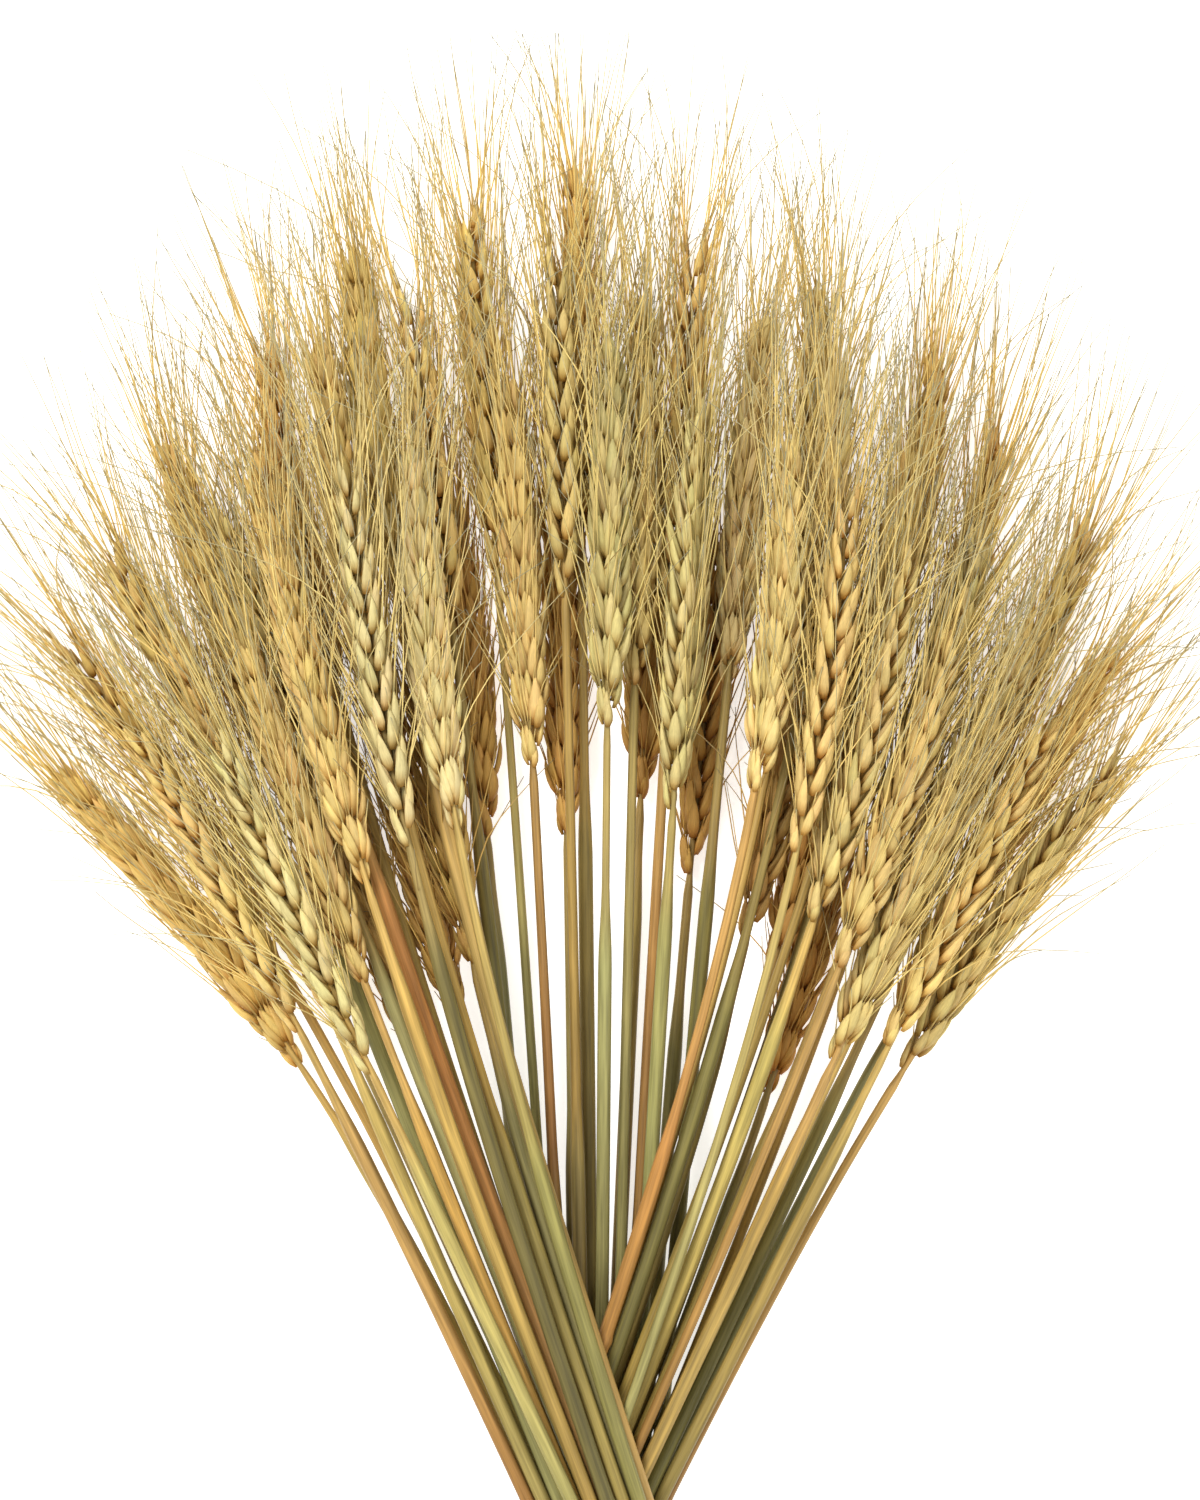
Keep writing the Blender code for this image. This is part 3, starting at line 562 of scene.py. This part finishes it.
def grow_awns(growth, stalk, draw, brushed, rings, ends, headings, outs, shares, tints, sizes):
    """One bristle out of the end of each husk, leaning outwards, all brushed a little to one side."""
    count = len(ends)
    along = run_of(stalk, -stalk["ear"] * (1 - shares))[1]
    opening = AWN_OPENING_LOW + (AWN_OPENING_HIGH - AWN_OPENING_LOW) * shares
    opening = np.tan(np.radians(opening * draw.uniform(*AWN_OPENINGS, count)))[:, None]
    side = unit(np.cross(along, outs))
    sideways = np.tan(np.radians(draw.normal(0, AWN_SIDEWAYS, count)))[:, None]
    swept = np.tan(np.radians(brushed))
    across = unit(np.cross(along, (0, 0, 1)))
    way = unit(along + opening * outs + sideways * side + swept * across)
    wild = draw.random(count) < WILD_SHARE
    bend = np.where(wild, draw.uniform(0.3, 1, count) * WILD_BEND, draw.normal(0, 0.6, count) * AWN_BEND)
    turn = draw.uniform(0, 2 * math.pi, count)
    perp = unit(np.cos(turn)[:, None] * outs + np.sin(turn)[:, None] * side) + outs * 0.5 * wild[:, None]
    perp = perp + across * swept * np.sign(bend)[:, None]
    length = (AWN_LENGTH + AWN_LENGTH_SPREAD * draw.uniform(-1, 1, count)) * sizes
    length = length * (AWN_AT_FOOT + (1 - AWN_AT_FOOT) * smooth_step(shares, 0.0, 0.25))
    length = length * (1 - (1 - AWN_AT_TIP) * smooth_step(shares, 0.75, 1))
    t = np.linspace(0, 1, rings)
    settle = (headings - way)[:, None] * (t * (1 - t) ** 3)[None, :, None] * 0.5
    wave = np.sin(t[None, :] * math.pi * draw.uniform(1.5, 3.0, (count, 1)) + turn[:, None])
    wave = wave * t * (1 - t) * AWN_WAVE
    aside = (bend[:, None] * t**2 + wave)[..., None]
    route = way[:, None] * t[None, :, None] + perp[:, None] * aside + settle
    overhang = ends + length[:, None] * route[:, -1]
    outside = np.maximum(overhang - cad_high, 0) + np.maximum(cad_low - overhang, 0)
    outside[:, 2] = 0
    length = length * (1 - (outside / np.maximum(np.abs(length[:, None] * route[:, -1]), 1e-6)).max(axis=1))
    centres = ends[:, None] - headings[:, None] * AWN_ROOT + length[:, None, None] * route
    too_high = np.maximum(centres[:, -1, 2] - cad_high[2], 0)
    centres[..., 2] -= too_high[:, None] * t**2
    centres[..., 2] = np.maximum(centres[..., 2], FLOOR_GAP + AWN_FOOT_RADIUS)
    ahead = unit(np.gradient(centres, axis=1))
    wide = unit(np.cross(ahead, outs[:, None]))
    radius = (AWN_FOOT_RADIUS + (AWN_TIP_RADIUS - AWN_FOOT_RADIUS) * t)[None, :, None]
    # The awns take a softer share of the painted row shade.
    gold = np.array(AWN_GOLD) * np.array(EAR_ROW_PAINTED_SHADE[stalk["row"]]) ** AWN_ROW_POWER
    gold = gold * draw.uniform(*AWN_SHADES, (count, 1))
    share = t[None, :, None] ** AWN_GOLD_POWER
    mixed = tints[:, None] * (1 - share) + gold[:, None] * share
    fade = 1 - (1 - np.array(AWN_TIP_TINT)) * t[None, :, None] ** AWN_TIP_POWER
    growth.sweep(centres, wide * radius, np.cross(ahead, wide) * radius, AWN_SIDES,
                 (t * 0.06)[None].repeat(count, 0), mixed * fade, 2)


awn_finish = grained("dry_awn", across=900, stretch=20, streak=0.08, rough=0.55, bump=0, shine=0.25)

# Each stalk grew as one piece, so straw, ear and awns are one piece here as well. It takes the place of the
# plainer stalk that lies along the same line.
for index, stalk in enumerate(stalks):
    draw = np.random.default_rng(SEED * 100 + index)
    growth = Growth()
    grow_straw(growth, stalk, draw)
    husks = grow_husks(growth, stalk, draw)
    bearded = husks[-1] > 0.5
    brushed = draw.normal(0, AWN_BRUSHED)
    grow_awns(growth, stalk, draw, brushed, AWN_RINGS, *(column[bearded] for column in husks))
    grow_awns(growth, stalk, draw, brushed, BEAK_RINGS, *(column[~bearded] for column in husks))
    node = f"stalk_{index + 1:02d}"
    piece = growth.made(f"wheat_{index + 1:02d}", (straw_finish, husk_finish, awn_finish))
    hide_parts(node)
    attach(piece, "root")

# The tie: one length of three-strand natural twine wound three times round the neck, pulled tight on top in
# a small hard knot, with its two cut ends left standing off.
TWINE_TURNS = 3
TWINE_GAP = 0.0004
NECK_SIDES = 20
TWINE_SIDES = 12
TWINE_STEP = 0.0007
TWINE_LAY = 0.011
# Painted shade: the grooves between the twine's strands are painted darker.
STRAND_DEPTH, STRAND_PAINTED_SHADE = 0.13, 0.55
WEAR_LONG, WEAR_SHORT = 310, 97
KNOT_SCALE, KNOT_LIFT = 0.00135, 1.5 * TWINE_RADIUS
KNOT_TWINE_RADIUS = 0.00115
TAIL_LENGTH, TAIL_DROOP = 0.017, 0.003
TAIL_WAYS = ((0.85, 0.45, 0.42), (-0.75, -0.60, 0.50))
FUZZ_COUNT, FUZZ_LENGTH, FUZZ_RADIUS = 260, 0.0042, 0.00004
TWINE_TINT, TWINE_PALE = (0.330, 0.215, 0.105), (0.520, 0.380, 0.210)


def neck_reach():
    """How far the straws reach at the neck, in each of the directions round it, with the twine's gap."""
    near = np.abs(LEVELS) < TWINE_TURNS * TWINE_RADIUS
    x = np.concatenate([stalk["x"][near] for stalk in stalks])
    z = np.concatenate([stalk["z"][near] for stalk in stalks])
    turns = np.arange(NECK_SIDES) * 2 * math.pi / NECK_SIDES - math.pi / 2
    reach = [(x * math.cos(a) + z * math.sin(a)).max() for a in turns]
    return turns, np.array(reach) + STEM_RADIUS + TWINE_GAP


def neck_outline(height):
    """The corners of the convex outline round the straws, at a height off them, as x and z."""
    turns, reach = neck_reach()
    reach = reach + height
    ahead, further = np.roll(turns, -1), np.roll(reach, -1)
    share = np.sin(ahead - turns)
    x = (reach * np.sin(ahead) - further * np.sin(turns)) / share
    z = (further * np.cos(turns) - reach * np.cos(ahead)) / share
    return np.column_stack([x, z])


def evenly(points, step):
    """The route through these points with a ring at every step of its length."""
    gone = np.concatenate([[0], np.cumsum(np.linalg.norm(np.diff(points, axis=0), axis=1))])
    at = np.linspace(0, gone[-1], int(gone[-1] / step) + 2)
    return np.column_stack([np.interp(at, gone, points[:, axis]) for axis in range(3)]), at


def grow_twine(growth, route, radius, draw):
    """Twisted twine along a route: a three-lobed section that turns as it goes."""
    centres, at = evenly(route, TWINE_STEP)
    ahead = unit(np.gradient(centres, axis=0))
    frame_up = np.where(np.abs(ahead[:, 1:2]) > 0.9, (1.0, 0, 0), (0, 1.0, 0))
    wide = unit(np.cross(frame_up, ahead))
    deep = np.cross(ahead, wide)
    turn = np.arange(TWINE_SIDES) * 2 * math.pi / TWINE_SIDES
    twist = 2 * math.pi * at / TWINE_LAY
    lobes = np.abs(np.cos(1.5 * (turn[None] - twist[:, None])))
    profile = 1 - STRAND_DEPTH * 2 + STRAND_DEPTH * 2 * lobes
    # Painted shade in the grooves between the strands.
    shade = (STRAND_PAINTED_SHADE + (1 - STRAND_PAINTED_SHADE) * lobes)[..., None]
    worn = (0.5 + 0.5 * np.sin(at * WEAR_LONG + 2 * np.sin(at * WEAR_SHORT)))[:, None, None]
    tints = (np.array(TWINE_TINT) * (1 - worn) + np.array(TWINE_PALE) * worn) * shade
    growth.sweep(centres[None], wide[None] * radius, deep[None] * radius, TWINE_SIDES,
                 at[None], tints[None], 0, profile[None])
    chosen = draw.integers(2, len(centres) - 2, int(FUZZ_COUNT * at[-1] / 0.4) + 4)
    angle = draw.uniform(0, 2 * math.pi, chosen.size)
    out = unit(np.cos(angle)[:, None] * wide[chosen] + np.sin(angle)[:, None] * deep[chosen])
    lean = unit(out + ahead[chosen] * draw.uniform(0.5, 1.6, (chosen.size, 1)))
    t = np.linspace(0, 1, 4)
    size = FUZZ_LENGTH * draw.uniform(0.3, 1, chosen.size)
    curl = ahead[chosen][:, None] * (t**2)[None, :, None] * draw.uniform(-0.4, 0.6, (chosen.size, 1, 1))
    hairs = centres[chosen][:, None] + out[:, None] * radius * 0.75
    hairs = hairs + (lean[:, None] * t[None, :, None] + curl) * size[:, None, None]
    level = unit(np.cross(lean, ahead[chosen]))[:, None] * FUZZ_RADIUS * (1.2 - t)[None, :, None]
    upright = np.cross(lean[:, None], level)
    growth.sweep(hairs, level, upright, 3, (t * 0.004)[None].repeat(chosen.size, 0),
                 np.broadcast_to(np.array(TWINE_PALE), hairs.shape), 0)


draw = np.random.default_rng(SEED)
twine = Growth()
corners = neck_outline(TWINE_RADIUS)
corners = np.concatenate([np.roll(corners, -NECK_SIDES // 2, axis=0)] * TWINE_TURNS)
wound = np.column_stack([corners[:, 0], np.linspace(-1, 1, len(corners)) * (TWINE_TURNS - 1) * TWINE_RADIUS,
                         np.maximum(corners[:, 1], TWINE_RADIUS)])
grow_twine(twine, wound, TWINE_RADIUS, draw)
knot_place = np.array([0, 0, neck_outline(0.0)[:, 1].max() + KNOT_LIFT])
t = np.linspace(0, 2 * math.pi, 90)
trefoil = np.column_stack([np.sin(t) + 2 * np.sin(2 * t), np.cos(t) - 2 * np.cos(2 * t),
                           -1.3 * np.sin(3 * t)])
grow_twine(twine, knot_place + trefoil * KNOT_SCALE * (1, 0.8, 0.8), KNOT_TWINE_RADIUS, draw)
for way in TAIL_WAYS:
    t = np.linspace(0, 1, 12)[:, None]
    tail = knot_place + unit(np.array(way)) * TAIL_LENGTH * t + (0, 0, -TAIL_DROOP) * t**2
    grow_twine(twine, tail, KNOT_TWINE_RADIUS, draw)
twine_finish = grained("twine_fibre", across=2400, stretch=5, streak=0.22, rough=0.85, bump=0.8, shine=0.2)
tie = twine.made("twine", (twine_finish,))
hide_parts("twine_tie")
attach(tie, "root")

# The table is a wide pale light board, and the camera looks straight down on the bunch, as it was
# photographed. One broad soft light stands high to the left and a weaker one to the right, under a bright
# room.
TABLE_SIZE = 6.0
TABLE_COLOUR, TABLE_ROUGHNESS = (0.93, 0.93, 0.92, 1), 0.7
TABLE_GLOW = 0.70
TABLE_PLACE = (0, 0.2, -0.0003)
ROOM_COLOUR, ROOM_LIGHT = (1.0, 0.99, 0.97, 1), 0.67
LIGHTS_AIM = (0, 0.25, 0)
LIGHTS = (
    # name, place, size, power, colour
    ("key", (-0.7, 0.9, 1.6), 0.9, 30, (1.0, 0.99, 0.96)),
    ("fill", (1.1, -0.1, 1.3), 1.2, 8, (1.0, 0.98, 0.95)),
)
CAMERA_HEIGHT = 1.5
VIEW_PLANE_Z = 0.035
PIXEL = 0.00027
PHOTO_HEIGHT = 1500
VIEW_CENTRE = (0.0010, 0.2187)
SENSOR = 36.0

bpy.ops.mesh.primitive_plane_add(size=TABLE_SIZE, location=TABLE_PLACE)
table = bpy.context.object
table.name = "table"
board = bpy.data.materials.new("pale_board")
board.use_nodes = True
shader = board.node_tree.nodes["Principled BSDF"]
shader.inputs["Base Color"].default_value = TABLE_COLOUR
shader.inputs["Roughness"].default_value = TABLE_ROUGHNESS
shader.inputs["Emission Color"].default_value = TABLE_COLOUR
shader.inputs["Emission Strength"].default_value = TABLE_GLOW
table.data.materials.append(board)
table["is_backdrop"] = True


def soft_light(name, place, size, power, colour):
    light = bpy.data.lights.new(name, "AREA")
    light.shape = "DISK"
    light.size = size
    light.energy = power
    light.color = colour
    lamp = bpy.data.objects.new(name, light)
    lamp.location = place
    lamp.rotation_mode = "QUATERNION"
    lamp.rotation_quaternion = (Vector(LIGHTS_AIM) - Vector(place)).to_track_quat("-Z", "Y")
    bpy.context.scene.collection.objects.link(lamp)


for one in LIGHTS:
    soft_light(*one)
world = bpy.data.worlds.new("bright_room")
world.use_nodes = True
world.node_tree.nodes["Background"].inputs["Color"].default_value = ROOM_COLOUR
world.node_tree.nodes["Background"].inputs["Strength"].default_value = ROOM_LIGHT
bpy.context.scene.world = world
bpy.context.scene.view_settings.view_transform = "Standard"

lens = bpy.data.cameras.new("overhead")
lens.sensor_width = SENSOR
lens.lens = SENSOR * (CAMERA_HEIGHT - VIEW_PLANE_Z) / (PIXEL * PHOTO_HEIGHT)
lens.clip_end = 20
camera = bpy.data.objects.new("overhead", lens)
camera.location = (*VIEW_CENTRE, CAMERA_HEIGHT)
bpy.context.scene.collection.objects.link(camera)
bpy.context.scene.camera = camera
